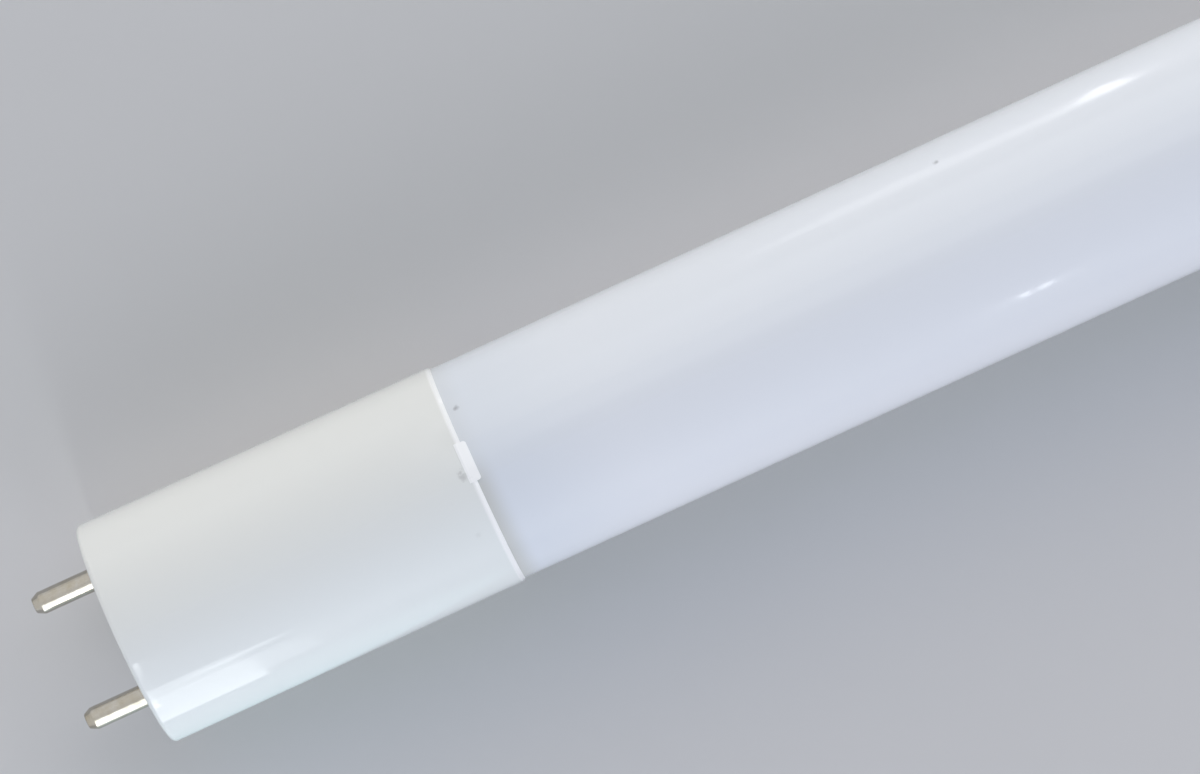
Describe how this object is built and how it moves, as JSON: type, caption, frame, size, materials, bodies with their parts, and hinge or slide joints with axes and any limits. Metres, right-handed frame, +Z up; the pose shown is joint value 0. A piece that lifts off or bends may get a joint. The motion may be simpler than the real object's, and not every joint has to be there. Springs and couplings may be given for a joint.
{
  "type": "led tube",
  "caption": "Straight LED tube lamp: frosted round tube with a plugged-in white cap and two contact pins at each end, light board and driver inside.",
  "frame": {"origin": "on the surface that the lamp lies on, under its middle", "axes": "+X along the lamp from the driver end to the other end, +Z up out of its light side, the pins side by side along Y"},
  "size_m": [0.604, 0.0238, 0.0237],
  "materials": {
    "frosted_tube": "frosted polycarbonate, glossy outside",
    "cap_plastic": "moulded white, semi-gloss",
    "pin_metal": "nickel-plated brass, polished",
    "silicone": "cured white silicone",
    "strip_metal": "white solder mask on a metal core",
    "led_housing": "moulded white",
    "led_phosphor": "yellow phosphor in clear resin",
    "circuit_board": "green solder mask",
    "black_moulding": "black moulding",
    "tinned_metal": "tinned",
    "resistor_coat": "flameproof coating",
    "varistor_coat": "blue epoxy",
    "film_case": "red-brown epoxy",
    "ferrite": "sintered ferrite",
    "copper": "enamelled copper wire",
    "can_sleeve": "dark shrink sleeve",
    "wire_sleeve": "white insulation"
  },
  "bodies": {
    "root": {"diffuser_tube": "frosted_tube", "left_end_cap": "cap_plastic", "right_end_cap": "cap_plastic", "left_front_pin": "pin_metal", "left_back_pin": "pin_metal", "right_front_pin": "pin_metal", "right_back_pin": "pin_metal", "left_glue_ring": "silicone", "right_glue_ring": "silicone", "board_adhesive": "silicone", "led_board": "strip_metal", "led_housings": "led_housing", "led_phosphors": "led_phosphor", "driver_board": "circuit_board", "link_board": "circuit_board", "header_bar": "black_moulding", "header_socket": "led_housing", "header_pins": "tinned_metal", "fuse_resistor": "resistor_coat", "varistor": "varistor_coat", "film_capacitor": "film_case", "coil_core": "ferrite", "coil_winding": "copper", "bulk_capacitor": "can_sleeve", "output_capacitor": "can_sleeve", "component_legs": "tinned_metal", "solder_joints": "tinned_metal", "link_solder": "tinned_metal", "chip_leads": "tinned_metal", "bridge_rectifier": "black_moulding", "controller_chip": "black_moulding", "catch_diode": "black_moulding", "left_front_wire": "wire_sleeve", "left_back_wire": "wire_sleeve", "return_wire": "wire_sleeve"}
  },
  "joints": []
}
